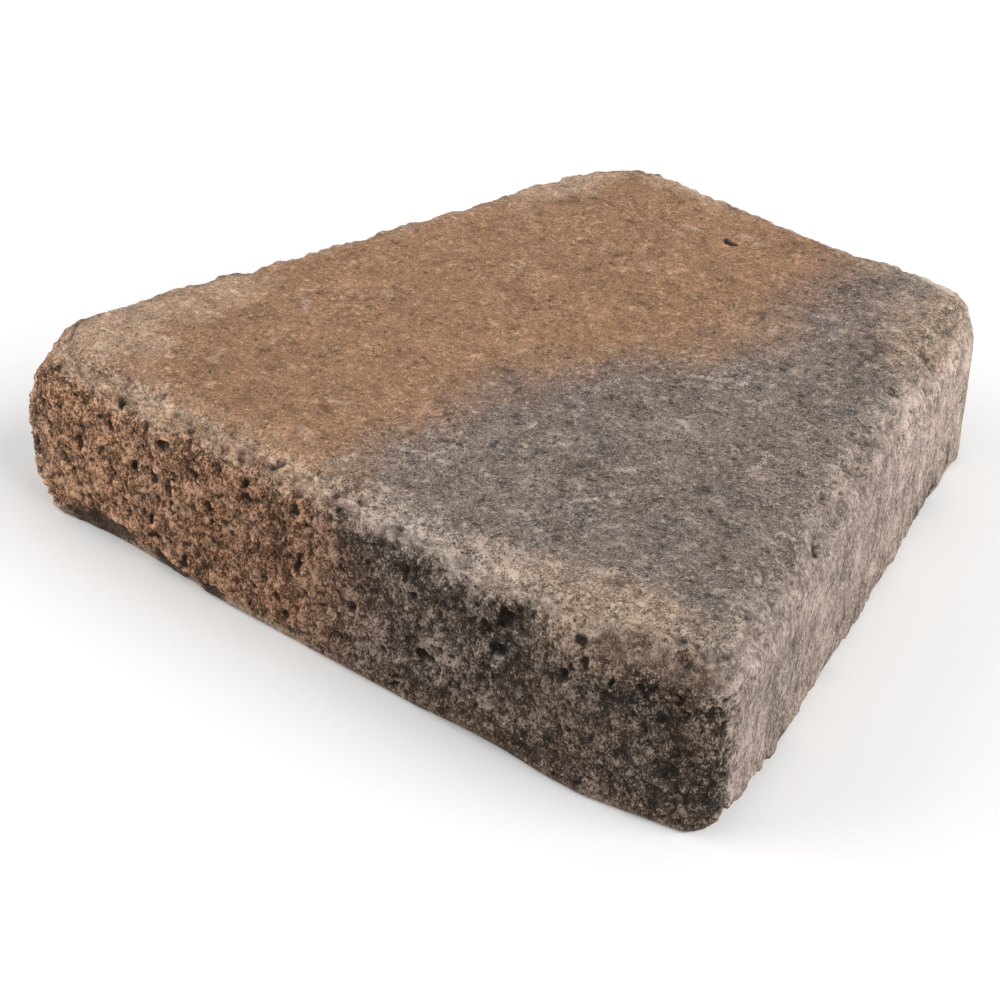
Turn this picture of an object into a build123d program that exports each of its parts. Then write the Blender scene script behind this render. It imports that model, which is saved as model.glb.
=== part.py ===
from build123d import *
import math
import os

# A tapered cap for the top of a retaining wall, cast in concrete as one solid
# and tumbled, so that its arrises are rolled over, its corners knocked off
# and its split face open with small voids.
# Sizes are in millimetres. X runs along the face, Y from the face back to
# the tail, and Z up from the bed. The origin is on the bed, under the middle
# of the block.

# Overall size, taken to the sharp corners that the mould gave
FACE_WIDTH = 365.0
TAIL_WIDTH = 195.0
DEPTH = 305.0
THICKNESS = 76.0

# Face corners knocked back in plan: how far along the face, how far back
LEFT_BREAK_RUN = 40.0
LEFT_BREAK_SETBACK = 9.0
RIGHT_BREAK_RUN = 58.0
RIGHT_BREAK_SETBACK = 11.0

# Radii of the upright corners in plan
LEFT_SIDE_RADIUS = 17.0
LEFT_FACE_RADIUS = 44.0
RIGHT_FACE_RADIUS = 60.0
RIGHT_SIDE_RADIUS = 13.0
TAIL_RIGHT_RADIUS = 26.0
TAIL_LEFT_RADIUS = 44.0

# Top arris rolled over by tumbling: how far down, and how far in on each side
TOP_ARRIS_DROP = 20.0
FACE_TOP_RUN = 22.0
SIDE_TOP_RUN = 20.0
TAIL_TOP_RUN = 18.0

# Bed arris, worn less
BED_ARRIS_RISE = 6.0
BED_ARRIS_RUN = 5.0

# Tightest plan corner left inside an arris, and slices that shape each arris
SMALLEST_CORNER = 4.0
TOP_ARRIS_STEPS = 5
BED_ARRIS_STEPS = 3

# Barrel that tumbling wears the upright corners to: its reach from an upright
# axis, where that axis stands, the height of its belly and its curve
BARREL_REACH = 216.5
BARREL_X = 14.0
BARREL_Y = -30.0
BARREL_BELLY = 34.0
BARREL_CURVE = 54.0

# Corners broken off beyond that: corner, level, width, depth, upward lean
BROKEN_CORNERS = (
    ("face_left", "top", 64.0, 2.6, 58.0),
    ("face_right", "top", 96.0, 4.0, 50.0),
    ("face_right", "bed", 70.0, 4.5, -30.0),
    ("tail_right", "bed", 60.0, 3.0, -40.0),
)

# Chips out of the arrises: side, level, share along, width, depth
ARRIS_CHIPS = (
    ("right_break", "top", 0.45, 96.0, 3.0),
    ("face", "bed", 0.12, 84.0, 2.6),
    ("face", "bed", 0.26, 18.0, 1.6),
    ("face", "bed", 0.82, 60.0, 1.2),
    ("right", "bed", 0.08, 78.0, 5.4),
    ("right", "bed", 0.30, 24.0, 1.6),
    ("right", "top", 0.40, 26.0, 2.0),
    ("right", "bed", 0.74, 60.0, 1.6),
    ("tail", "top", 0.42, 70.0, 1.8),
    ("tail", "top", 0.86, 56.0, 1.4),
    ("tail", "bed", 0.66, 56.0, 2.2),
    ("left", "top", 0.58, 90.0, 2.0),
    ("left", "top", 0.87, 60.0, 1.4),
    ("left", "bed", 0.34, 70.0, 2.4),
)

# Largest voids in the split face: distance from its right-hand end, height
# of the middle above the bed, width, height and depth of the mouth
FACE_VOIDS = (
    (96.0, 59.0, 6.6, 9.6, 5.0),
    (99.2, 44.5, 5.4, 6.6, 4.2),
    (104.8, 50.5, 4.6, 4.6, 3.4),
    (97.8, 30.5, 4.8, 6.4, 3.6),
    (132.8, 25.2, 6.2, 5.2, 4.2),
    (199.0, 60.6, 5.2, 5.0, 3.6),
    (222.4, 53.0, 4.8, 5.2, 3.4),
    (239.0, 60.8, 5.0, 4.6, 3.4),
    (242.4, 41.5, 4.4, 5.4, 3.4),
    (263.6, 40.3, 4.6, 6.2, 3.6),
    (267.0, 58.4, 6.2, 5.2, 3.8),
    (282.2, 41.9, 4.4, 7.8, 3.8),
)


def corner_points():
    """Sharp plan corners, anticlockwise from the back of the left break."""
    half_face = FACE_WIDTH / 2
    half_tail = TAIL_WIDTH / 2
    half_depth = DEPTH / 2
    taper = (half_face - half_tail) / DEPTH
    return [
        (-half_face + taper * LEFT_BREAK_SETBACK, -half_depth + LEFT_BREAK_SETBACK),
        (-half_face + LEFT_BREAK_RUN, -half_depth),
        (half_face - RIGHT_BREAK_RUN, -half_depth),
        (half_face - taper * RIGHT_BREAK_SETBACK, -half_depth + RIGHT_BREAK_SETBACK),
        (half_tail, half_depth),
        (-half_tail, half_depth),
    ]


def corner_radii():
    """Plan radius at each corner, in the order of corner_points."""
    return [
        LEFT_SIDE_RADIUS,
        LEFT_FACE_RADIUS,
        RIGHT_FACE_RADIUS,
        RIGHT_SIDE_RADIUS,
        TAIL_RIGHT_RADIUS,
        TAIL_LEFT_RADIUS,
    ]


def inset_corners(insets):
    """Plan corners after each side moves in by its own inset."""
    corners = [Vector(*point) for point in corner_points()]
    lines = []
    for start, end, inset in zip(corners, corners[1:] + corners[:1], insets):
        along = (end - start).normalized()
        outward = Vector(along.Y, -along.X)
        lines.append((start - outward * inset, along))
    points = []
    for (start, along), (other, across) in zip(lines[-1:] + lines[:-1], lines):
        gap = other - start
        turn = along.X * across.Y - along.Y * across.X
        reach = (gap.X * across.Y - gap.Y * across.X) / turn
        points.append(start + along * reach)
    return points


def section(height, insets):
    """Level slice of the block, each side moved in by its own inset."""
    radii = [max(radius - max(insets), SMALLEST_CORNER) for radius in corner_radii()]
    points = [(point.X, point.Y) for point in inset_corners(insets)]
    outline = FilletPolyline(*points, radius=radii, close=True)
    return Pos(0, 0, height) * make_face(outline)


def rolled_arris(start_height, rise, runs, steps):
    """Rounded band from the full plan to the plan moved in by the runs."""
    slices = []
    for step in range(steps + 1):
        turn = math.pi / 2 * step / steps
        share = 1 - math.cos(turn)
        height = start_height + rise * math.sin(turn)
        slices.append(section(height, [run * share for run in runs]))
    return loft(slices)


def cast_block():
    """The tapered block with its top and bed arrises rolled over."""
    top_runs = [
        FACE_TOP_RUN,
        FACE_TOP_RUN,
        FACE_TOP_RUN,
        SIDE_TOP_RUN,
        TAIL_TOP_RUN,
        SIDE_TOP_RUN,
    ]
    bed_runs = [BED_ARRIS_RUN] * len(top_runs)
    waist = THICKNESS - TOP_ARRIS_DROP - BED_ARRIS_RISE
    middle = extrude(section(BED_ARRIS_RISE, [0.0] * len(top_runs)), amount=waist)
    top = rolled_arris(
        THICKNESS - TOP_ARRIS_DROP, TOP_ARRIS_DROP, top_runs, TOP_ARRIS_STEPS
    )
    bed = rolled_arris(BED_ARRIS_RISE, -BED_ARRIS_RISE, bed_runs, BED_ARRIS_STEPS)
    return middle + top + bed


def barrel_reach(height):
    """Reach of the tumbling barrel at one height."""
    rise = height - BARREL_BELLY
    return BARREL_REACH - BARREL_CURVE + math.sqrt(BARREL_CURVE**2 - rise**2)


def tumbling_barrel():
    """Round barrel that keeps what tumbling leaves of the upright corners."""
    foot = -1.0
    crown = THICKNESS + 1.0
    belly = ThreePointArc(
        (barrel_reach(foot), 0, foot),
        (BARREL_REACH, 0, BARREL_BELLY),
        (barrel_reach(crown), 0, crown),
    )
    inside = Polyline(
        (barrel_reach(crown), 0, crown),
        (0, 0, crown),
        (0, 0, foot),
        (barrel_reach(foot), 0, foot),
    )
    return Pos(BARREL_X, BARREL_Y, 0) * revolve(make_face([belly, inside]), Axis.Z)


def scoop(point, outward, width, depth):
    """A ball that leaves a shallow dish of this width and depth."""
    radius = (width * width / 4 + depth * depth) / (2 * depth)
    centre = Vector(*point) + Vector(*outward).normalized() * (radius - depth)
    return Pos(centre) * Sphere(radius)


def side_ends():
    """Each side's two plan corners, named as seen from in front."""
    left_back, left, right, right_back, tail_right, tail_left = corner_points()
    return {
        "face": (left, right),
        "right_break": (right, right_back),
        "right": (right_back, tail_right),
        "tail": (tail_right, tail_left),
        "left": (tail_left, left_back),
    }


def arris_size(side, level):
    """Run and height of one side's arris."""
    if level == "bed":
        return BED_ARRIS_RUN, BED_ARRIS_RISE
    runs = {
        "face": FACE_TOP_RUN,
        "right_break": FACE_TOP_RUN,
        "right": SIDE_TOP_RUN,
        "tail": TAIL_TOP_RUN,
        "left": SIDE_TOP_RUN,
    }
    return runs[side], TOP_ARRIS_DROP


def arris_chip(side, level, share, width, depth):
    """A dish knocked out of one arris, at a share of its length."""
    start, end = side_ends()[side]
    along = Vector(end[0] - start[0], end[1] - start[1])
    outward = Vector(along.Y, -along.X).normalized()
    run, rise = arris_size(side, level)
    halfway = 1 - math.sqrt(0.5)
    plan_point = Vector(*start) + along * share - outward * run * halfway
    upward = 1 if level == "top" else -1
    height = THICKNESS - rise * halfway if level == "top" else rise * halfway
    return scoop(
        (plan_point.X, plan_point.Y, height),
        (outward.X, outward.Y, upward),
        width,
        depth,
    )


def upright_corner(corner):
    """Middle of a rounded upright corner in plan, and its outward direction."""
    left_back, left, right, right_back, tail_right, tail_left = corner_points()
    before, point, after, radius = {
        "face_left": (tail_left, left_back, left, LEFT_SIDE_RADIUS),
        "face_right": (right, right_back, tail_right, RIGHT_SIDE_RADIUS),
        "tail_right": (right_back, tail_right, tail_left, TAIL_RIGHT_RADIUS),
        "tail_left": (tail_right, tail_left, left_back, TAIL_LEFT_RADIUS),
    }[corner]
    point = Vector(*point)
    to_before = (Vector(*before) - point).normalized()
    to_after = (Vector(*after) - point).normalized()
    outward = (to_before + to_after).normalized() * -1
    half_angle = math.radians(to_before.get_angle(to_after)) / 2
    reach = radius / math.sin(half_angle) - radius
    return point - outward * reach, outward


def broken_corner(corner, level, width, depth, lean):
    """A broad dish broken out of an upright corner at its top or bed."""
    middle, outward = upright_corner(corner)
    tilt = math.radians(lean)
    side = "right" if corner.endswith("right") else "left"
    run, rise = arris_size(side, level)
    surface = middle - outward * run * (1 - math.cos(tilt))
    start = THICKNESS - rise if level == "top" else rise
    height = start + rise * math.sin(tilt)
    return scoop(
        (surface.X, surface.Y, height),
        (outward.X * math.cos(tilt), outward.Y * math.cos(tilt), math.sin(tilt)),
        width,
        depth,
    )


def face_void(from_right, height, width, tall, depth):
    """An egg-shaped void that opens in the split face."""
    egg = scale(Sphere(1.0), by=(width / 2, depth, tall / 2))
    return Pos(FACE_WIDTH / 2 - from_right, -DEPTH / 2, height) * egg


def wall_cap():
    """The whole cap, standing on its bed with the origin under its middle."""
    cap = cast_block() & tumbling_barrel()
    for corner in BROKEN_CORNERS:
        cap -= broken_corner(*corner)
    for chip in ARRIS_CHIPS:
        cap -= arris_chip(*chip)
    for void in FACE_VOIDS:
        cap -= face_void(*void)
    box = cap.bounding_box()
    middle = box.center()
    return Pos(-middle.X, -middle.Y, -box.min.Z) * cap


os.makedirs("parts", exist_ok=True)

cap = wall_cap()
cap.label = "wall_cap"
export_step(cap, "parts/wall_cap.step")
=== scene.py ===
"""Dresses the tumbled wall cap: cast relief, blended concrete, floor, light and camera."""

import logging
import math
from dataclasses import dataclass, field
from enum import Enum
from typing import Any, Optional, Union

import bmesh
import bpy
from mathutils import Matrix, Vector


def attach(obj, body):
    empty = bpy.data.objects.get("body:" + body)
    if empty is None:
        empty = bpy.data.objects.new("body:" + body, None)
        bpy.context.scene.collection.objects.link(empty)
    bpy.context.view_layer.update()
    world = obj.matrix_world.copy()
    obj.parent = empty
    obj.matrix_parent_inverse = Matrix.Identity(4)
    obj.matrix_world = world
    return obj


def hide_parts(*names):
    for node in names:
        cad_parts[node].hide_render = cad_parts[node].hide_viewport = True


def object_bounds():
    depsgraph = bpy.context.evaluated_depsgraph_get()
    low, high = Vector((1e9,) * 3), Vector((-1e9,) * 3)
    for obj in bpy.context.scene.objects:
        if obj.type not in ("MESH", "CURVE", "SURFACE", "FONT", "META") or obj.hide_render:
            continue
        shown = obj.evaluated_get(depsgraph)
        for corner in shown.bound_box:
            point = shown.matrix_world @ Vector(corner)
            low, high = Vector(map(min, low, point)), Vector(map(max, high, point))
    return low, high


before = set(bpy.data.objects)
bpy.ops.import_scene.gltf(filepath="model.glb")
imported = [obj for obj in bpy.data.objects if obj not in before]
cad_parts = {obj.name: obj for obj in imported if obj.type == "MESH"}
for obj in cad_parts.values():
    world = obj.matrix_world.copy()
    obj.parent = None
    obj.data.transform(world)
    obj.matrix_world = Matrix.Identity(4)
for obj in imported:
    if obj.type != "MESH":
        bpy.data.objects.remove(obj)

MM = 0.001
CAD_BOX = [list(corner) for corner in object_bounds()]
LOG = logging.getLogger("wall_cap")

Colour = tuple[float, float, float]
Triple = tuple[float, float, float]

MERGE_DISTANCE = 0.01 * MM
NOISE_MIDDLE: Triple = (0.5, 0.5, 0.5)
LEAST_LEVEL = 0.02  # keeps a division by a normal's level part away from 0


class Attr(Enum):
    """Names of the values that the relief leaves on the mesh for the finish."""

    CAST_NORMAL = "cast_normal"
    PIT = "pit"
    GAP = "gap"
    HOLLOW = "hollow"


class Wire:
    """One output socket; the operators on it add Math nodes to its graph."""

    def __init__(self, graph: "Graph", socket: bpy.types.NodeSocket) -> None:
        """Keeps the socket and the graph that it belongs to.

        Args:
            graph: The graph that new nodes go into.
            socket: The output socket that this stands for.
        """
        self.graph = graph
        self.socket = socket

    def _math(self, operation: str, *values: Any, clamp: bool = False) -> "Wire":
        """Adds one Math node.

        Args:
            operation: The Math node's operation.
            values: Numbers or wires for its inputs, in order.
            clamp: Whether the result is held between 0 and 1.

        Returns:
            The node's result.
        """
        settings = {"operation": operation, "use_clamp": clamp}
        return self.graph.add("ShaderNodeMath", settings, dict(enumerate(values)))

    def __add__(self, other: Any) -> "Wire":
        """Returns the sum."""
        return self._math("ADD", self, other)

    def __radd__(self, other: Any) -> "Wire":
        """Returns the sum, with the wire on the right."""
        return self._math("ADD", other, self)

    def __sub__(self, other: Any) -> "Wire":
        """Returns the difference."""
        return self._math("SUBTRACT", self, other)

    def __rsub__(self, other: Any) -> "Wire":
        """Returns the difference, with the wire on the right."""
        return self._math("SUBTRACT", other, self)

    def __mul__(self, other: Any) -> "Wire":
        """Returns the product."""
        return self._math("MULTIPLY", self, other)

    def __rmul__(self, other: Any) -> "Wire":
        """Returns the product, with the wire on the right."""
        return self._math("MULTIPLY", other, self)

    def __truediv__(self, other: Any) -> "Wire":
        """Returns the quotient."""
        return self._math("DIVIDE", self, other)

    def __rtruediv__(self, other: Any) -> "Wire":
        """Returns the quotient, with the wire below the line."""
        return self._math("DIVIDE", other, self)

    def __pow__(self, other: Any) -> "Wire":
        """Returns the power."""
        return self._math("POWER", self, other)

    def __rpow__(self, other: Any) -> "Wire":
        """Returns the power, with the wire as the exponent."""
        return self._math("POWER", other, self)

    def at_least(self, other: Any) -> "Wire":
        """Returns the larger of the two."""
        return self._math("MAXIMUM", self, other)

    def at_most(self, other: Any) -> "Wire":
        """Returns the smaller of the two."""
        return self._math("MINIMUM", self, other)

    def held(self) -> "Wire":
        """Returns the value held between 0 and 1."""
        return self._math("ADD", self, 0.0, clamp=True)

    def root(self) -> "Wire":
        """Returns the square root."""
        return self._math("SQRT", self)

    def size(self) -> "Wire":
        """Returns the value without its sign."""
        return self._math("ABSOLUTE", self)

    def step(self, low: Any, high: Any) -> "Wire":
        """Smooth rise from 0 at low to 1 at high.

        Args:
            low: The value that gives 0.
            high: The value that gives 1.

        Returns:
            The smoothed share.
        """
        return self.graph.add(
            "ShaderNodeMapRange",
            {"interpolation_type": "SMOOTHSTEP"},
            {"Value": self, "From Min": low, "From Max": high},
            "Result",
        )

    def ramp(self, low: Any, high: Any, start: Any = 0.0, end: Any = 1.0) -> "Wire":
        """Straight change from start at low to end at high, held past both.

        Args:
            low: The value that gives start.
            high: The value that gives end.
            start: The result at low.
            end: The result at high.

        Returns:
            The mapped value.
        """
        return self.graph.add(
            "ShaderNodeMapRange",
            {"interpolation_type": "LINEAR"},
            {"Value": self, "From Min": low, "From Max": high, "To Min": start, "To Max": end},
            "Result",
        )


class Graph:
    """A shader or geometry tree that is built by adding nodes."""

    def __init__(self, tree: bpy.types.NodeTree) -> None:
        """Starts with an empty tree.

        Args:
            tree: The node tree to fill.
        """
        self.tree = tree
        tree.nodes.clear()

    def raw(self, kind: str, settings: dict[str, Any], inputs: dict[Any, Any]) -> bpy.types.Node:
        """Adds a node: its type, then its settings, then its sockets.

        Args:
            kind: The node's type name.
            settings: Values set on the node itself.
            inputs: Values or wires by input name or index.

        Returns:
            The new node.
        """
        node = self.tree.nodes.new(kind)
        for name, value in settings.items():
            setattr(node, name, value)
        for name, value in inputs.items():
            socket = self.find(node.inputs, name)
            if isinstance(value, Wire):
                self.tree.links.new(value.socket, socket)
            elif socket.type == "RGBA":
                socket.default_value = (*value, 1.0)
            else:
                socket.default_value = value
        return node

    @staticmethod
    def find(sockets: Any, name: Union[str, int]) -> bpy.types.NodeSocket:
        """Finds a socket in use by its name or index.

        Args:
            sockets: The node's inputs or outputs.
            name: The socket's name or index.

        Returns:
            The socket.
        """
        if isinstance(name, int):
            return sockets[name]
        return next(s for s in sockets if s.name == name and s.enabled)

    def add(
        self,
        kind: str,
        settings: Optional[dict[str, Any]] = None,
        inputs: Optional[dict[Any, Any]] = None,
        output: Union[str, int] = 0,
    ) -> Wire:
        """Adds a node and gives one of its outputs.

        Args:
            kind: The node's type name.
            settings: Values set on the node itself.
            inputs: Values or wires by input name or index.
            output: The name or index of the output wanted.

        Returns:
            That output as a wire.
        """
        node = self.raw(kind, settings or {}, inputs or {})
        return Wire(self, self.find(node.outputs, output))

    def other(self, wire: Wire, output: Union[str, int]) -> Wire:
        """Returns another output of the node that a wire leaves."""
        return Wire(self, self.find(wire.socket.node.outputs, output))

    def vector(self, operation: str, *values: Any, output: Union[str, int] = 0) -> Wire:
        """Adds a Vector Math node.

        Args:
            operation: The node's operation.
            values: Vectors or wires for its inputs, in order.
            output: The name or index of the output wanted.

        Returns:
            The node's result.
        """
        inputs = dict(enumerate(values))
        return self.add("ShaderNodeVectorMath", {"operation": operation}, inputs, output)

    def scaled(self, vector: Wire, scale: Any) -> Wire:
        """Returns the vector times one number."""
        return self.add(
            "ShaderNodeVectorMath", {"operation": "SCALE"}, {0: vector, "Scale": scale}
        )

    def parts(self, vector: Wire) -> tuple[Wire, Wire, Wire]:
        """Returns the three parts of a vector."""
        first = self.add("ShaderNodeSeparateXYZ", {}, {0: vector})
        return first, self.other(first, 1), self.other(first, 2)

    def joined(self, x: Any, y: Any, z: Any) -> Wire:
        """Returns a vector of three parts."""
        return self.add("ShaderNodeCombineXYZ", {}, {0: x, 1: y, 2: z})

    def noise(self, place: Wire, per_mm: Any, detail: float = 2.0, rough: float = 0.5) -> Wire:
        """Noise about 0.5, at a scale given per millimetre.

        Args:
            place: The place in millimetres.
            per_mm: How many bumps there are to the millimetre.
            detail: How many finer layers there are.
            rough: The strength of the finer layers.

        Returns:
            The noise value.
        """
        inputs = {"Vector": place, "Scale": per_mm, "Detail": detail, "Roughness": rough}
        return self.add("ShaderNodeTexNoise", {}, inputs)

    def noise_shift(self, place: Wire, per_mm: float, detail: float = 2.0) -> Wire:
        """A vector of noise about 0, which stirs or frays a pattern.

        Args:
            place: The place in millimetres.
            per_mm: How many bumps there are to the millimetre.
            detail: How many finer layers there are.

        Returns:
            The vector, each part of it about 0.
        """
        inputs = {"Vector": place, "Scale": per_mm, "Detail": detail}
        colour = self.add("ShaderNodeTexNoise", {}, inputs, "Color")
        return self.vector("SUBTRACT", colour, NOISE_MIDDLE)

    def blend(self, share: Any, first: Any, second: Any) -> Wire:
        """Mixes two colours.

        Args:
            share: 0 for the first colour and 1 for the second.
            first: A colour or a wire.
            second: A colour or a wire.

        Returns:
            The mixed colour.
        """
        settings = {"data_type": "RGBA", "blend_type": "MIX", "clamp_factor": True}
        node = self.raw("ShaderNodeMix", settings, {"Factor": share, "A": first, "B": second})
        return Wire(self, self.find(node.outputs, "Result"))

    def tinted(self, colour: Wire, amount: Wire) -> Wire:
        """Returns the colour made lighter or darker by a factor."""
        return self.scaled(colour, amount)


@dataclass(frozen=True)
class PitLayer:
    """One size of void, scattered through the concrete in cells."""

    cell: float
    chance: float
    smallest: float
    largest: float
    depth: float
    tall: float
    shift: float

    def depth_field(self, graph: Graph, place: Wire, density: Any) -> Wire:
        """How deep this layer's voids are at a place, in millimetres.

        Args:
            graph: The tree that the nodes go into.
            place: The place in millimetres.
            density: Extra chance of a void there, about 0.

        Returns:
            The depth in millimetres.
        """
        squeezed = graph.vector("MULTIPLY", place, (1.0, 1.0, 1.0 / self.tall))
        moved = graph.vector("ADD", squeezed, (self.shift, self.shift * 0.7, self.shift * 1.3))
        stir = graph.scaled(graph.noise_shift(place, 1.6 / self.cell), self.cell * 1.3)
        cells = graph.add(
            "ShaderNodeTexVoronoi",
            {"feature": "F1", "voronoi_dimensions": "3D"},
            {"Vector": graph.vector("ADD", moved, stir), "Scale": 1.0 / self.cell},
            "Distance",
        )
        chance, size, _ = graph.parts(graph.other(cells, "Color"))
        reach = (size**2.0).ramp(0.0, 1.0, self.smallest, self.largest)
        open_here = (chance + density).step(1.0 - self.chance, 1.03 - self.chance)
        wall = (reach - cells * self.cell) / (reach * 0.8)
        return wall.held() * open_here * reach * self.depth


@dataclass(frozen=True)
class WornSpot:
    """A place where the relief is cut deeper, such as a notch in an arris."""

    centre: Triple
    radii: Triple
    depth: float

    def depth_field(self, graph: Graph, place: Wire) -> Wire:
        """The cut's depth at a place, in millimetres.

        Args:
            graph: The tree that the nodes go into.
            place: The place in millimetres.

        Returns:
            The depth in millimetres.
        """
        gap = graph.vector("SUBTRACT", place, self.centre)
        near = graph.vector("DIVIDE", gap, self.radii)
        reach = graph.vector("LENGTH", near, output="Value")
        return (1.0 - reach).step(0.0, 0.6) * self.depth


@dataclass(frozen=True)
class ReliefScale:
    """How many bumps each kind of relief has to the millimetre."""

    fray: float = 0.08
    wave: float = 0.016
    clump: float = 0.075
    lump: float = 0.16
    scallop: float = 0.085
    stir: float = 0.35
    granule: float = 0.3
    grit: float = 0.34
    nibble: float = 0.22
    nick: float = 0.05
    density: float = 0.03
    warp: float = 0.12


@dataclass(frozen=True)
class BlurRounds:
    """How many times each value is averaged over the mesh."""

    lift: int = 6
    crease: int = 26
    normal: int = 12
    gap: int = 4
    hollow: int = 30


@dataclass
class CastCap:
    """The cap itself: the cast block with the relief that splitting and tumbling left."""

    node: str = "wall_cap"
    body: str = "root"
    slot: str = "tumbled_concrete"
    voxel: float = 0.85
    triangles: int = 194000
    seed_shift: Triple = (31.0, 17.0, 5.0)
    scale: ReliefScale = ReliefScale()
    rounds: BlurRounds = BlurRounds()
    sizes: dict[str, float] = field(
        default_factory=lambda: {
            "Wave Depth": 0.9,
            "Face Setback": 1.3,
            "Clump Depth": 5.0,
            "Lump Depth": 3.4,
            "Granule Depth": 1.2,
            "Grit Depth": 3.2,
            "Void Depth": 1.0,
            "Scallop Depth": 6.0,
            "Nick Depth": 16.0,
        }
    )
    split_pits: tuple[PitLayer, ...] = (
        PitLayer(cell=14.0, chance=0.55, smallest=2.0, largest=4.8, depth=1.1, tall=1.5, shift=3.0),
        PitLayer(cell=7.5, chance=0.48, smallest=1.1, largest=2.6, depth=1.1, tall=1.5, shift=11.0),
        PitLayer(cell=3.8, chance=0.32, smallest=0.6, largest=1.3, depth=1.0, tall=1.3, shift=23.0),
    )
    rim_pits: tuple[PitLayer, ...] = (
        PitLayer(cell=11.0, chance=0.2, smallest=0.8, largest=2.2, depth=0.7, tall=1.0, shift=41.0),
        PitLayer(cell=4.5, chance=0.28, smallest=0.5, largest=1.1, depth=0.7, tall=1.0, shift=57.0),
    )
    spots: tuple[WornSpot, ...] = (
        WornSpot((151.0, -48.0, 72.0), (6.0, 7.0, 7.0), 3.2),
        WornSpot((-6.3, 110.9, 76.0), (3.6, 3.2, 5.0), 2.6),
        WornSpot((-83.0, -151.0, 1.0), (14.0, 12.0, 9.0), 3.4),
        WornSpot((-122.0, -154.0, -4.0), (30.0, 14.0, 22.0), 3.2),
        WornSpot((-60.0, -151.0, 0.0), (9.0, 9.0, 8.0), 2.2),
        WornSpot((140.0, -129.0, 70.0), (4.0, 4.0, 3.0), 2.0),
        WornSpot((156.0, -118.0, 70.0), (4.0, 4.0, 3.0), 2.0),
        WornSpot((161.0, -78.0, 0.0), (10.0, 11.0, 10.0), 3.2),
        WornSpot((149.0, -30.0, 0.0), (8.0, 9.0, 9.0), 3.0),
        WornSpot((112.0, 97.0, 0.0), (8.0, 14.0, 12.0), 2.6),
        WornSpot((147.9, -150.0, 57.3), (3.2, 6.0, 7.0), 2.6),
        WornSpot((153.1, -150.0, 45.4), (4.0, 6.0, 4.0), 2.4),
        WornSpot((117.1, -150.0, 66.2), (4.5, 6.0, 3.4), 2.2),
        WornSpot((-131.4, -150.0, 40.8), (2.8, 6.0, 7.0), 2.8),
        WornSpot((-25.0, -152.0, 16.1), (3.4, 5.0, 3.0), 2.6),
        WornSpot((43.3, -152.0, 49.4), (2.8, 5.0, 2.6), 2.2),
    )

    def raw_copy(self) -> bpy.types.Object:
        """A copy of the cast block's mesh with its loose triangles joined up.

        Returns:
            The new object, linked to the scene.
        """
        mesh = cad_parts[self.node].data.copy()
        mesh.materials.clear()
        shape = bmesh.new()
        shape.from_mesh(mesh)
        bmesh.ops.remove_doubles(shape, verts=shape.verts, dist=MERGE_DISTANCE)
        shape.to_mesh(mesh)
        shape.free()
        copy = bpy.data.objects.new("cast_source", mesh)
        bpy.context.scene.collection.objects.link(copy)
        return copy

    @staticmethod
    def blurred(graph: Graph, value: Wire, rounds: int, weight: Any = 1.0) -> Wire:
        """The value averaged with its neighbours on the mesh.

        Args:
            graph: The tree that the nodes go into.
            value: A vector field.
            rounds: How many times it is averaged.
            weight: How much each point takes part.

        Returns:
            The averaged field.
        """
        return graph.add(
            "GeometryNodeBlurAttribute",
            {"data_type": "FLOAT_VECTOR"},
            {"Value": value, "Iterations": rounds, "Weight": weight},
            "Value",
        )

    @staticmethod
    def stored(graph: Graph, shape: Wire, name: Attr, value: Wire, kind: str = "FLOAT") -> Wire:
        """Keeps a value on the mesh under a name.

        Args:
            graph: The tree that the nodes go into.
            shape: The geometry so far.
            name: The attribute to write.
            value: The value at each point.
            kind: FLOAT or FLOAT_VECTOR.

        Returns:
            The geometry with the attribute.
        """
        return graph.add(
            "GeometryNodeStoreNamedAttribute",
            {"data_type": kind, "domain": "POINT"},
            {"Geometry": shape, "Name": name.value, "Value": value},
            "Geometry",
        )

    def relief_tree(self, material: bpy.types.Material) -> bpy.types.NodeTree:
        """The relief: waves, clumps, granules and voids pressed into the cast surface.

        Args:
            material: The finish that the tree sets at its end.

        Returns:
            The geometry tree.
        """
        tree = bpy.data.node_groups.new("cast_relief", "GeometryNodeTree")
        tree.interface.new_socket("Geometry", in_out="INPUT", socket_type="NodeSocketGeometry")
        for name, value in self.sizes.items():
            socket = tree.interface.new_socket(name, in_out="INPUT", socket_type="NodeSocketFloat")
            socket.default_value = value
        tree.interface.new_socket("Geometry", in_out="OUTPUT", socket_type="NodeSocketGeometry")
        graph = Graph(tree)
        shape = graph.add("NodeGroupInput", {}, {}, "Geometry")
        size = {name: graph.other(shape, name) for name in self.sizes}
        scale, rounds = self.scale, self.rounds

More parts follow.
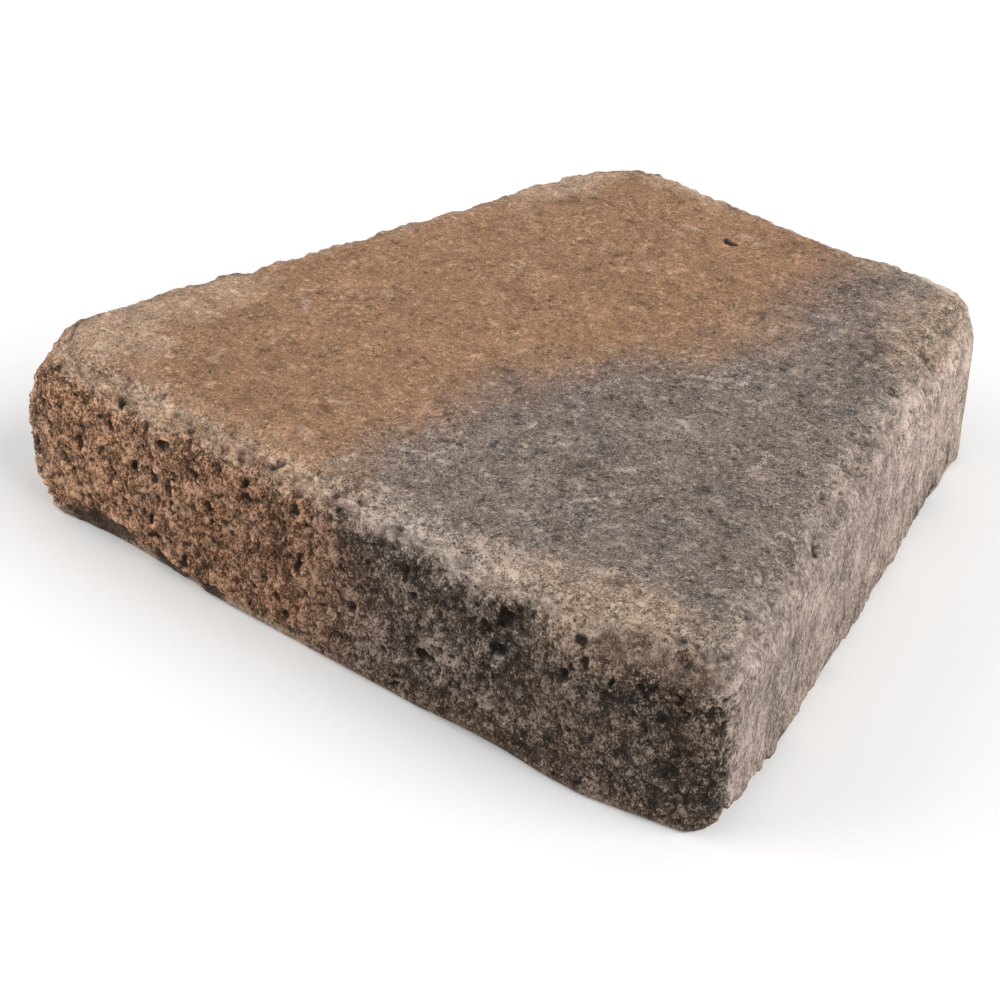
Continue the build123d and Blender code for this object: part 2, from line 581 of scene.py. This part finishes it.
        # Worn round: the hard creases along the top arris are eased first.
        normal = graph.add("GeometryNodeInputNormal")
        position = graph.add("GeometryNodeInputPosition")
        turned = graph.vector("NORMALIZE", self.blurred(graph, normal, rounds.lift))
        _, _, lift = graph.parts(turned)
        eased = self.blurred(graph, position, rounds.crease, lift.step(0.08, 0.3))
        shape = graph.add(
            "GeometryNodeSetPosition", {}, {"Geometry": shape, "Position": eased}, "Geometry"
        )
        soft = graph.vector("NORMALIZE", self.blurred(graph, normal, rounds.normal))
        shape = self.stored(graph, shape, Attr.CAST_NORMAL, soft, "FLOAT_VECTOR")
        cast = graph.add(
            "GeometryNodeInputNamedAttribute",
            {"data_type": "FLOAT_VECTOR"},
            {"Name": Attr.CAST_NORMAL.value},
            "Attribute",
        )
        real = graph.scaled(position, 1.0 / MM)
        place = graph.vector("ADD", real, self.seed_shift)
        nx, ny, nz = graph.parts(cast)
        level = (nx * nx + ny * ny).root()
        facing = (-1.0 * ny) / level.at_least(LEAST_LEVEL)
        fray = (graph.noise(place, scale.fray, 2.0) - 0.5) * 0.6
        split = (facing + fray).step(-0.1, 0.65) * (level + fray * 0.6).step(0.6, 0.98)
        arris = level.step(0.05, 0.6) * nz.size().step(0.0, 0.6)
        rough = split.at_least(arris * 0.4).at_least(0.07)
        setback = (facing + fray).step(-0.1, 0.65) * level.step(0.0, 0.6) * size["Face Setback"]
        off_bed = (nz + 1.0).step(0.05, 0.4)

        # Broad waves and clumps, then granules, grit and the nibbled arrises.
        wave = graph.noise(place, scale.wave, 2.0) * size["Wave Depth"] * 2.0
        clump = (graph.noise(place, scale.clump, 2.0, 0.5) - 0.5) * size["Clump Depth"]
        lump = (graph.noise(place, scale.lump, 1.0) - 0.5) * size["Lump Depth"]
        scallop = (graph.noise(place, scale.scallop, 1.0) - 0.5) * size["Scallop Depth"]
        scallop = scallop * arris * (1.0 - split)
        stir = graph.noise_shift(place, scale.stir)
        granule = graph.add(
            "ShaderNodeTexVoronoi",
            {"feature": "F1"},
            {"Vector": graph.vector("ADD", place, graph.scaled(stir, 3.0)), "Scale": scale.granule},
            "Distance",
        )
        granule = ((granule * granule * 1.6).at_most(1.2) - 0.35) * size["Granule Depth"]
        grit = (graph.noise(place, scale.grit, 3.0, 0.7) - 0.5) * size["Grit Depth"]
        nibble = (graph.noise(place, scale.nibble, 2.0) - 0.5) * arris * 1.6
        nick = (graph.noise(place, scale.nick, 2.0, 0.6) - 0.56).at_least(0.0)
        nick = nick * size["Nick Depth"] * arris

        # Voids in the concrete and notches at known places.
        density = (graph.noise(place, scale.density, 1.0) - 0.5) * 0.6
        pits: Any = 0.0
        for layer in self.split_pits:
            pits = pits + layer.depth_field(graph, place, density)
        rim_pits: Any = 0.0
        for layer in self.rim_pits:
            rim_pits = rim_pits + layer.depth_field(graph, place, density)
        void = (pits * split + rim_pits * arris * (1.0 - split)) * size["Void Depth"]
        warp = graph.scaled(graph.noise_shift(place, scale.warp), 9.0)
        warp = graph.vector("ADD", warp, graph.scaled(stir, 4.0))
        frayed = graph.vector("ADD", real, warp)
        for spot in self.spots:
            void = void + spot.depth_field(graph, frayed)
        cut = wave + (clump + lump + granule + grit) * rough + nick + void + scallop
        cut = cut + setback + nibble
        shape = self.stored(graph, shape, Attr.PIT, void)
        offset = graph.scaled(cast, cut * off_bed * -MM)
        shape = graph.add(
            "GeometryNodeSetPosition", {}, {"Geometry": shape, "Offset": offset}, "Geometry"
        )
        # How far each point lies below its neighbours' average, over a fine and a broad reach; the
        # finish paints shade into these hollows and light onto the raised points.
        for name, times in ((Attr.GAP, rounds.gap), (Attr.HOLLOW, rounds.hollow)):
            sunk = graph.vector("SUBTRACT", self.blurred(graph, position, times), position)
            sunk = graph.vector("DOT_PRODUCT", sunk, cast, output="Value") * (1.0 / MM)
            shape = self.stored(graph, shape, name, sunk)
        shape = graph.add("GeometryNodeSetShadeSmooth", {}, {"Geometry": shape}, "Geometry")
        shape = graph.add("GeometryNodeRealizeInstances", {}, {"Geometry": shape}, "Geometry")
        shape = graph.add(
            "GeometryNodeSetMaterial", {}, {"Geometry": shape, "Material": material}, "Geometry"
        )
        graph.raw("NodeGroupOutput", {}, {"Geometry": shape})
        return tree

    def build(self, material: bpy.types.Material) -> bpy.types.Object:
        """Makes the finished piece and hands it to the frame.

        Args:
            material: The concrete finish.

        Returns:
            The piece, a plain mesh at the origin.
        """
        source = self.raw_copy()
        remesh = source.modifiers.new("even_skin", "REMESH")
        remesh.mode = "VOXEL"
        remesh.voxel_size = self.voxel * MM
        relief = source.modifiers.new("cast_relief", "NODES")
        relief.node_group = self.relief_tree(material)
        for item in relief.node_group.interface.items_tree:
            if item.name in self.sizes:
                relief[item.identifier] = self.sizes[item.name]
        mesh = self.evaluated(source, "dense")
        faces = sum(len(p.vertices) - 2 for p in mesh.polygons)
        source.modifiers.clear()
        source.data = mesh
        thin = source.modifiers.new("thinned", "DECIMATE")
        thin.ratio = min(1.0, self.triangles / faces)
        mesh = self.evaluated(source, "wall_cap_concrete")
        bpy.data.objects.remove(source)
        piece = bpy.data.objects.new("wall_cap_concrete", mesh)
        bpy.context.scene.collection.objects.link(piece)
        self.keep_in_box(mesh)
        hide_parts(self.node)
        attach(piece, self.body)
        LOG.info("%s: %d faces from %d", piece.name, len(mesh.polygons), faces)
        return piece

    @staticmethod
    def evaluated(owner: bpy.types.Object, name: str) -> bpy.types.Mesh:
        """The object's mesh with its modifiers worked out.

        Args:
            owner: The object with live modifiers.
            name: The new mesh's name.

        Returns:
            A plain mesh.
        """
        graph = bpy.context.evaluated_depsgraph_get()
        mesh = bpy.data.meshes.new_from_object(
            owner.evaluated_get(graph), preserve_all_data_layers=True, depsgraph=graph
        )
        mesh.name = name
        return mesh

    @staticmethod
    def keep_in_box(mesh: bpy.types.Mesh) -> None:
        """Holds every point inside the cast block's box.

        Args:
            mesh: The mesh to change.
        """
        low, high = CAD_BOX
        for vertex in mesh.vertices:
            for axis in range(3):
                vertex.co[axis] = min(max(vertex.co[axis], low[axis]), high[axis])


@dataclass(frozen=True)
class ScuffLayer:
    """Pale crescent scuffs that rubbing blocks left, one to a cell of the top."""

    cell: float
    chance: float
    length: float
    width: float
    bend: float
    shift: float

    def share(self, graph: Graph, flat: Wire, ragged: Wire) -> Wire:
        """Share of pale scuff at a place on the top.

        Args:
            graph: The tree that the nodes go into.
            flat: The place in plan, in millimetres.
            ragged: Noise about 0 that breaks up the edges.

        Returns:
            0 away from the scuffs and 1 in them.
        """
        moved = graph.vector("ADD", flat, (self.shift, self.shift * 1.7, 0.0))
        cells = graph.add(
            "ShaderNodeTexVoronoi",
            {"feature": "F1", "voronoi_dimensions": "2D"},
            {"Vector": moved, "Scale": 1.0 / self.cell, "Randomness": 0.8},
            "Position",
        )
        turn, chance, size = graph.parts(graph.other(cells, "Color"))
        gap = graph.vector("SUBTRACT", moved, cells)
        turned = graph.add(
            "ShaderNodeVectorRotate",
            {"rotation_type": "Z_AXIS"},
            {"Vector": gap, "Angle": turn * 4.2 - 0.5},
        )
        along, across, _ = graph.parts(turned)
        bent = across + (along * along) * (self.bend / self.length) + ragged * self.width * 5.0
        reach = size.ramp(0.0, 1.0, 0.4, 1.0) * self.length
        line = 1.0 - (bent.size() / self.width).step(0.25, 1.0)
        line = line * (1.0 - (along.size() / reach).step(0.5, 1.0))
        return line * chance.step(1.0 - self.chance, 1.02 - self.chance)


@dataclass(frozen=True)
class Specks:
    """Tiny dark pores and pale flecks of sand, one or none to a cell."""

    cell: float
    dark: float
    pale: float
    reach: float
    strength: float

    def shares(self, graph: Graph, place: Wire, density: Any) -> tuple[Wire, Wire]:
        """Shares of pore and of fleck at a place.

        Args:
            graph: The tree that the nodes go into.
            place: The place in millimetres.
            density: Extra chance of a pore there, about 0.

        Returns:
            The share of dark pore and the share of pale fleck.
        """
        stir = graph.add(
            "ShaderNodeTexNoise", {}, {"Vector": place, "Scale": 1.5 / self.cell}, "Color"
        )
        moved = graph.vector("ADD", place, graph.scaled(stir, self.cell * 1.5))
        cells = graph.add(
            "ShaderNodeTexVoronoi",
            {"feature": "F1"},
            {"Vector": moved, "Scale": 1.0 / self.cell},
            "Distance",
        )
        chance, size, _ = graph.parts(graph.other(cells, "Color"))
        near = 1.0 - cells.step(size * self.reach * 0.5, size * self.reach + 0.12)
        near = near * self.strength
        pore = (chance + density).step(1.0 - self.dark, 1.04 - self.dark) * near
        fleck = (1.0 - chance).step(1.0 - self.pale, 1.04 - self.pale) * near
        return pore, fleck


@dataclass(frozen=True)
class Scuff:
    """A pale scuff on the top at a known place: its two ends and its half width."""

    start: tuple[float, float]
    end: tuple[float, float]
    half_width: float

    def share(self, graph: Graph, flat: Wire, ragged: Wire) -> Wire:
        """Share of this scuff at a place on the top.

        Args:
            graph: The tree that the nodes go into.
            flat: The place in plan, in millimetres.
            ragged: Noise about 0 that breaks up the edges.

        Returns:
            0 away from the scuff and 1 in it.
        """
        start = Vector((*self.start, 0.0))
        along = Vector((*self.end, 0.0)) - start
        gap = graph.vector("SUBTRACT", flat, tuple(start))
        per_length = tuple(along / along.length_squared)
        share = graph.vector("DOT_PRODUCT", gap, per_length, output="Value")
        foot = graph.scaled(graph.joined(*along), share.held())
        reach = graph.vector("LENGTH", graph.vector("SUBTRACT", gap, foot), output="Value")
        return 1.0 - (reach + ragged * 5.0).step(0.0, self.half_width * 2.0)


@dataclass(frozen=True)
class Patch:
    """A soft-edged patch of another tone at a known place."""

    centre: Triple
    radii: Triple
    strength: float

    def share(self, graph: Graph, place: Wire, fray: Wire) -> Wire:
        """Share of the patch at a place.

        Args:
            graph: The tree that the nodes go into.
            place: The place in millimetres.
            fray: Noise about 0 that breaks up the edge.

        Returns:
            0 outside the patch, up to its strength inside.
        """
        gap = graph.vector("SUBTRACT", place, self.centre)
        reach = graph.vector("LENGTH", graph.vector("DIVIDE", gap, self.radii), output="Value")
        return (1.25 - reach + fray * 1.6).step(0.0, 0.8) * self.strength


@dataclass(frozen=True)
class BlendedConcrete:
    """Concrete cast from a tan mix and a charcoal mix that meet in a soft line."""

    name: str = "blended_concrete"
    tan: Colour = (0.327, 0.185, 0.107)
    charcoal: Colour = (0.205, 0.161, 0.135)
    slate: Colour = (0.183, 0.155, 0.139)
    rim_tan: Colour = (0.46, 0.318, 0.225)
    rim_charcoal: Colour = (0.44, 0.362, 0.3)
    rim_right: Colour = (0.31, 0.247, 0.201)
    # split face at its left end, paler: painted light on the end that faces the light
    split_end_painted_light: Colour = (0.56, 0.34, 0.215)
    split_tan: Colour = (0.408, 0.217, 0.123)
    split_umber: Colour = (0.278, 0.142, 0.078)
    split_charcoal: Colour = (0.152, 0.111, 0.085)
    split_coal: Colour = (0.034, 0.027, 0.022)
    side: Colour = (0.348, 0.273, 0.233)
    side_far: Colour = (0.488, 0.381, 0.322)
    side_foot: Colour = (0.34, 0.262, 0.216)
    side_tan: Colour = (0.385, 0.272, 0.195)
    chalk: Colour = (0.62, 0.53, 0.45)
    clay: Colour = (0.39, 0.275, 0.192)
    dark_brown: Colour = (0.112, 0.07, 0.045)
    # near-black: the colour of the dark pore specks, and of the painted shade laid into pits and
    # hollows
    hollow: Colour = (0.03, 0.022, 0.018)
    roughness: float = 0.92
    specular: float = 0.25
    grain: float = 0.45
    grain_per_mm: float = 1.1
    swing_gain: float = 1.44
    darkest_swing: float = -2.4
    palest_swing: float = 1.5
    side_plane: Triple = (0.963, 0.268, 134.7)  # across, along and reach of a side, in mm
    face_reach: float = 152.5
    bands: tuple[tuple[float, float, float, float, float], ...] = (
        # bumps per mm, then how much each zone's tone swings: top, rim, split, side
        (1.25, 1.4, 2.9, 6.4, 3.1),
        (0.5, 0.75, 1.6, 3.9, 1.6),
        (0.22, 0.5, 1.1, 2.9, 1.1),
        (0.1, 0.33, 0.95, 2.8, 1.0),
        (0.045, 0.25, 0.8, 2.5, 0.9),
    )
    scuff_layers: tuple[ScuffLayer, ...] = (
        ScuffLayer(cell=23.0, chance=0.5, length=5.0, width=1.3, bend=0.35, shift=5.0),
        ScuffLayer(cell=41.0, chance=0.55, length=10.0, width=1.9, bend=0.4, shift=71.0),
    )
    specks: tuple[Specks, ...] = (
        Specks(cell=1.7, dark=0.36, pale=0.16, reach=0.3, strength=0.75),
        Specks(cell=4.6, dark=0.16, pale=0.26, reach=0.26, strength=0.5),
    )
    coal_patches: tuple[Patch, ...] = (
        Patch((87.0, -152.0, 46.0), (9.0, 30.0, 20.0), 0.9),
        Patch((114.0, -152.0, 42.0), (26.0, 30.0, 20.0), 0.6),
        Patch((127.0, -150.0, 48.0), (10.0, 30.0, 13.0), 1.0),
        Patch((151.0, -148.0, 50.0), (16.0, 30.0, 11.0), 1.0),
        Patch((166.0, -144.0, 33.0), (9.0, 30.0, 16.0), 1.0),
        Patch((173.0, -141.0, 22.0), (7.0, 30.0, 12.0), 1.0),
        Patch((30.0, -152.0, 61.0), (26.0, 30.0, 6.0), 0.8),
        Patch((61.0, -152.0, 58.0), (14.0, 30.0, 8.0), 0.7),
        Patch((42.0, -152.0, 31.0), (12.0, 30.0, 10.0), 0.5),
    )
    worn_patches: tuple[Patch, ...] = (
        Patch((-146.0, -118.0, 76.0), (30.0, 34.0, 20.0), 0.85),
        Patch((-134.0, -74.0, 76.0), (18.0, 36.0, 16.0), 0.6),
        Patch((-98.0, 118.0, 76.0), (22.0, 40.0, 16.0), 0.8),
        Patch((-58.0, 146.0, 76.0), (60.0, 15.0, 14.0), 0.8),
    )
    clay_patches: tuple[Patch, ...] = (
        Patch((124.0, -130.0, 73.0), (36.0, 15.0, 12.0), 1.0),
        Patch((90.0, -140.0, 72.0), (40.0, 14.0, 10.0), 0.6),
        Patch((118.0, -148.0, 62.0), (20.0, 16.0, 12.0), 0.7),
        Patch((96.0, 112.0, 76.0), (26.0, 44.0, 16.0), 0.9),
    )
    dark_brown_patches: tuple[Patch, ...] = (
        Patch((70.0, -152.0, 4.0), (90.0, 22.0, 13.0), 0.75),
        Patch((152.0, -148.0, 4.0), (34.0, 26.0, 10.0), 0.6),
        Patch((-20.0, -152.0, 2.0), (40.0, 20.0, 7.0), 0.3),
        Patch((150.0, -146.0, 64.0), (34.0, 18.0, 9.0), 0.75),
        Patch((126.0, -149.0, 60.0), (22.0, 14.0, 8.0), 0.6),
        Patch((110.0, -152.0, 30.0), (40.0, 20.0, 20.0), 0.5),
        Patch((163.0, -138.0, 46.0), (14.0, 18.0, 20.0), 0.6),
    )
    scuffs: tuple[Scuff, ...] = (
        Scuff((-38.5, -123.8), (-27.1, -127.8), 1.5),
        Scuff((12.7, -103.4), (13.6, -90.0), 1.2),
        Scuff((73.8, -132.4), (82.7, -131.9), 1.3),
        Scuff((104.2, -126.6), (109.7, -118.2), 2.2),
        Scuff((43.3, 6.5), (65.7, 17.0), 1.4),
        Scuff((-7.5, 119.8), (3.5, 117.7), 1.4),
        Scuff((56.7, 82.5), (69.9, 87.0), 1.3),
    )

    def tone(
        self, graph: Graph, place: Wire, streaked: Wire, zones: tuple[Wire, ...], crisp: Wire
    ) -> Wire:
        """Light and dark of the sand at every scale, about 1.

        Args:
            graph: The tree that the nodes go into.
            place: The place in millimetres.
            streaked: The place drawn out from top to bed, for the sides.
            zones: Shares of top, rim, split face and side.
            crisp: A factor on all the swings.

        Returns:
            The factor on the colour.
        """
        total: Any = 0.0
        drawn = (zones[3] + zones[2] * 0.7).held()
        inputs = {"Factor": drawn, "A": place, "B": streaked}
        spot = graph.add("ShaderNodeMix", {"data_type": "VECTOR"}, inputs, 1)
        sparse = zones[0] + zones[1] * 0.7 + zones[3] * 0.5
        for per_mm, *swings in self.bands:
            swing: Any = 0.0
            for zone, size in zip(zones, swings):
                swing = swing + zone * size
            grain = graph.noise(spot, per_mm, 1.4, 0.6) - 0.5
            total = total + grain * (1.0 + sparse * (grain * grain * 60.0 - 0.5)) * swing
        total = total * crisp * self.swing_gain
        return 2.0 ** total.at_least(self.darkest_swing).at_most(self.palest_swing)

    def build(self) -> bpy.types.Material:
        """Makes the material.

        Returns:
            The material, all from nodes on object coordinates.
        """
        material = bpy.data.materials.new(self.name)
        material.use_nodes = True
        graph = Graph(material.node_tree)
        place = graph.scaled(graph.add("ShaderNodeTexCoord", {}, {}, "Object"), 1.0 / MM)
        x, y, z = graph.parts(place)
        cast = graph.add(
            "ShaderNodeAttribute", {"attribute_name": Attr.CAST_NORMAL.value}, {}, "Vector"
        )
        pit, gap, sunk = (
            graph.add("ShaderNodeAttribute", {"attribute_name": name.value}, {}, "Fac")
            for name in (Attr.PIT, Attr.GAP, Attr.HOLLOW)
        )
        nx, ny, nz = graph.parts(cast)
        level = (nx * nx + ny * ny).root()
        facing = (-1.0 * ny) / level.at_least(LEAST_LEVEL)
        wander = graph.noise(place, 0.03, 3.0, 0.6)
        mottle = graph.noise(place, 0.09, 3.0, 0.6)
        sand = graph.noise(place, 1.7, 2.0, 0.8)
        fray = (mottle - 0.5) * 0.8 + (wander - 0.5) * 0.5 + (sand - 0.5) * 0.3
        split = (facing + fray).step(-0.05, 0.6) * (level + fray * 0.7).step(0.55, 1.0)
        flat_top = (nz + fray * 0.14).step(0.86, 1.0)
        flank = (level + fray * 0.5).step(0.5, 1.02) * (1.0 - split)
        top = flat_top * (1.0 - split) * (1.0 - flank)
        rim = (1.0 - flat_top) * (1.0 - split) * (1.0 - flank)
        zones = (top, rim, split, flank)

        # The two mixes meet along a line that swings to the right towards the tail.
        line = y.step(-75.0, 55.0) * 54.0 - 7.0 + y.step(-118.0, -150.0) * 12.0
        line = line + z.step(76.0, 50.0) * 6.0
        across = x - line + (wander - 0.5) * 52.0 + (mottle - 0.5) * 28.0 + (sand - 0.5) * 16.0
        dark = across.step(-30.0, 26.0)

        streaked = graph.vector("MULTIPLY", place, (1.0, 1.0, 0.72))
        tone = self.tone(graph, place, streaked, zones, 1.0 + dark * top * 0.7)

        # The top, with its pale worn band and worn patches.
        char = graph.blend((wander - 0.5).step(0.0, 0.14) * 0.6, self.charcoal, self.slate)
        colour = graph.blend(dark, self.tan, char)
        worn = graph.blend(dark, self.rim_tan, self.rim_charcoal)
        worn = graph.blend(x.step(70.0, 135.0), worn, self.rim_right)
        side_across, side_along, side_reach = self.side_plane
        lean = x.size() * side_across + y * side_along
        inward = (side_reach - lean).at_most(self.face_reach - y.size()) + fray * 22.0
        worn_here = (1.0 - inward.step(2.0, 26.0)) * 0.75
        worn_here = worn_here.at_least(rim * (mottle.step(0.3, 0.6) * 0.4 + 0.6))
        for patch in self.worn_patches:
            worn_here = worn_here.at_least(patch.share(graph, place, fray))
        colour = graph.blend(worn_here, colour, worn)

        # The split face, with its darkest patches.
        coal = x.step(100.0, 150.0) * z.step(66.0, 50.0) * (mottle.step(0.35, 0.6) * 0.5 + 0.4)
        for patch in self.coal_patches:
            coal = coal.at_least(patch.share(graph, place, fray))
        raw = graph.blend(x.step(-125.0, -15.0), self.split_tan, self.split_umber)
        # Paler towards the left end: painted light on the end of the split face that faces the
        # light.
        raw = graph.blend(x.step(-140.0, -172.0), raw, self.split_end_painted_light)
        raw = graph.blend(dark, raw, self.split_charcoal)
        raw = graph.blend(coal * 0.9, raw, self.split_coal)
        colour = graph.blend(split, colour, raw)

        # The moulded sides and tail, then clay rubbed into the surface and dark brown patches on
        # the split face, most of them low down or just under its top arris on the right.
        pale = graph.blend(y.step(-60.0, 110.0), self.side, self.side_far)
        pale = graph.blend((z + fray * 20.0).step(34.0, 4.0) * 0.8, pale, self.side_foot)
        pale = graph.blend((1.0 - dark) * 0.8, pale, self.side_tan)
        colour = graph.blend(flank, colour, pale)
        for patch in self.clay_patches:
            colour = graph.blend(patch.share(graph, place, fray) * 0.6, colour, self.clay)
        for patch in self.dark_brown_patches:
            colour = graph.blend(patch.share(graph, place, fray), colour, self.dark_brown)

        colour = graph.tinted(colour, tone.at_most(1.8))
        colour = graph.blend(tone.step(1.6, 3.6) * 0.5, colour, self.chalk)

        flat = graph.joined(x, y, 0.0)
        ragged = (sand - 0.5) * 0.7 + (mottle - 0.5) * 0.3
        first, *others = (*self.scuff_layers, *self.scuffs)
        scuffed = first.share(graph, flat, ragged)
        for mark in others:
            scuffed = scuffed.at_least(mark.share(graph, flat, ragged))
        scuffed = scuffed * (1.0 - split) * (1.0 - flank) * tone.step(0.6, 1.2)
        colour = graph.blend(scuffed * (dark * 0.2 + 0.35), colour, self.chalk)

        for layer in self.specks:
            pore, fleck = layer.shares(graph, place, (split + rim) * 0.1)
            colour = graph.blend(fleck * 0.6, colour, self.chalk)
            colour = graph.blend(pore * (1.0 - flank * 0.4), colour, self.hollow)
        # Painted shade: pits, fine gaps and broad hollows are darkened towards near-black, where
        # shade falls in them.
        deep = (pit * 0.5 + gap.at_least(0.0) * 0.8 + sunk.at_least(0.0) * 0.6).held()
        colour = graph.blend(deep * 0.85, colour, self.hollow)
        # Painted light: raised grains and bumps are made paler, as if lit.
        painted_bump_light = ((gap * -1.0).at_least(0.0) * 1.2 + (sunk * -1.0).at_least(0.0) * 0.15).held()
        colour = graph.blend(painted_bump_light * 0.3, colour, graph.tinted(colour, painted_bump_light + 1.6))

        height = graph.noise(place, self.grain_per_mm, 1.0)
        bump = graph.add(
            "ShaderNodeBump",
            {},
            {"Strength": 1.0, "Distance": MM * self.grain, "Height": height},
            "Normal",
        )
        shader = graph.add(
            "ShaderNodeBsdfPrincipled",
            {},
            {
                "Base Color": colour,
                "Roughness": self.roughness,
                "Specular IOR Level": self.specular,
                "Normal": bump,
            },
            "BSDF",
        )
        graph.raw("ShaderNodeOutputMaterial", {}, {"Surface": shader})
        return material


@dataclass
class Studio:
    """The pale floor, the soft light and the camera."""

    floor_half: float = 4.0
    floor_drop: float = 0.3
    floor_lift: float = 0.1
    floor_seen: Colour = (0.99, 0.99, 0.99)
    floor_bounce: Colour = (0.5, 0.5, 0.5)
    sky: float = 0.47
    sun_power: float = 1.9
    sun_from: Triple = (0.80, 0.16, 0.60)
    sun_spread: float = 0.9
    fill_power: float = 1.1
    fill_from: Triple = (-0.72, -0.52, 0.46)
    camera_place: Triple = (0.6, -0.798, 0.64443)
    azimuth: float = 38.65
    elevation: float = 32.904
    roll: float = 2.275
    lens: float = 103.64
    sensor: float = 36.0
    clip: tuple[float, float] = (0.05, 50.0)

    def floor(self) -> bpy.types.Object:
        """Makes the pale floor, which keeps the object's shadow.

        Returns:
            The floor object.
        """
        half = self.floor_half
        mesh = bpy.data.meshes.new("floor")
        corners = ((-half, -half), (half, -half), (half, half), (-half, half))
        points = [(x, y, -self.floor_drop * MM) for x, y in corners]
        mesh.from_pydata(points, [], [(0, 1, 2, 3)])
        floor = bpy.data.objects.new("floor", mesh)
        bpy.context.scene.collection.objects.link(floor)
        material = bpy.data.materials.new("pale_floor")
        material.use_nodes = True
        graph = Graph(material.node_tree)
        seen = self.seen_directly(graph)
        colour = graph.blend(seen, self.floor_bounce, self.floor_seen)
        matt = graph.add("ShaderNodeBsdfDiffuse", {}, {"Color": colour}, "BSDF")
        glow = seen * self.floor_lift
        lift = graph.add("ShaderNodeEmission", {}, {"Strength": glow}, "Emission")
        shader = graph.add("ShaderNodeAddShader", {}, {0: matt, 1: lift}, "Shader")
        graph.raw("ShaderNodeOutputMaterial", {}, {"Surface": shader})
        mesh.materials.append(material)
        return floor

    @staticmethod
    def seen_directly(graph: Graph) -> Wire:
        """Tells the rays that show a surface from those that only light another.

        Args:
            graph: The tree that the nodes go into.

        Returns:
            1 for a ray from the camera, a gloss or a clear body, and 0 for others.
        """
        camera = graph.add("ShaderNodeLightPath", {}, {}, "Is Camera Ray")
        glossy = graph.other(camera, "Is Glossy Ray")
        clear = graph.other(camera, "Is Transmission Ray")
        return camera.at_least(glossy).at_least(clear)

    def light(self) -> None:
        """Makes the even sky and two broad soft lamps."""
        world = bpy.data.worlds.new("studio")
        bpy.context.scene.world = world
        world.use_nodes = True
        graph = Graph(world.node_tree)
        strength = self.seen_directly(graph).ramp(0.0, 1.0, self.sky, 1.0)
        shader = graph.add(
            "ShaderNodeBackground", {}, {"Color": (1.0, 1.0, 1.0), "Strength": strength}
        )
        graph.raw("ShaderNodeOutputWorld", {}, {"Surface": shader})
        for name, power, source in (
            ("key", self.sun_power, self.sun_from),
            ("fill", self.fill_power, self.fill_from),
        ):
            lamp = bpy.data.lights.new(name, "SUN")
            lamp.energy = power
            lamp.angle = self.sun_spread
            sun = bpy.data.objects.new(name, lamp)
            sun.rotation_mode = "QUATERNION"
            sun.rotation_quaternion = (-Vector(source)).to_track_quat("-Z", "Y")
            bpy.context.scene.collection.objects.link(sun)

    def camera(self) -> bpy.types.Object:
        """Makes the camera at the photograph's viewing angle.

        Returns:
            The camera object, set as the scene's camera.
        """
        turn, lift, roll = (math.radians(a) for a in (self.azimuth, self.elevation, self.roll))
        level = math.cos(lift)
        back = Vector((math.sin(turn) * level, -math.cos(turn) * level, math.sin(lift)))
        right = Vector((math.cos(turn), math.sin(turn), 0.0))
        up = back.cross(right)
        rolled = right * math.cos(roll) + up * math.sin(roll)
        upward = -right * math.sin(roll) + up * math.cos(roll)
        data = bpy.data.cameras.new("camera")
        data.sensor_width = self.sensor
        data.lens = self.lens
        data.clip_start, data.clip_end = self.clip
        camera = bpy.data.objects.new("camera", data)
        turned = Matrix((rolled, upward, back)).transposed().to_4x4()
        camera.matrix_world = Matrix.Translation(self.camera_place) @ turned
        bpy.context.scene.collection.objects.link(camera)
        bpy.context.scene.camera = camera
        return camera

    def build(self) -> None:
        """Makes the floor, the light and the camera."""
        self.floor()
        self.light()
        self.camera()
        bpy.context.scene.view_settings.view_transform = "Standard"


def main() -> None:
    """Builds the cap and the studio in order and reports each piece."""
    logging.basicConfig(level=logging.INFO, format="%(name)s: %(message)s")
    Studio().build()
    piece = CastCap().build(BlendedConcrete().build())
    LOG.info("%s rides on root", piece.name)


if __name__ == "__main__":
    main()
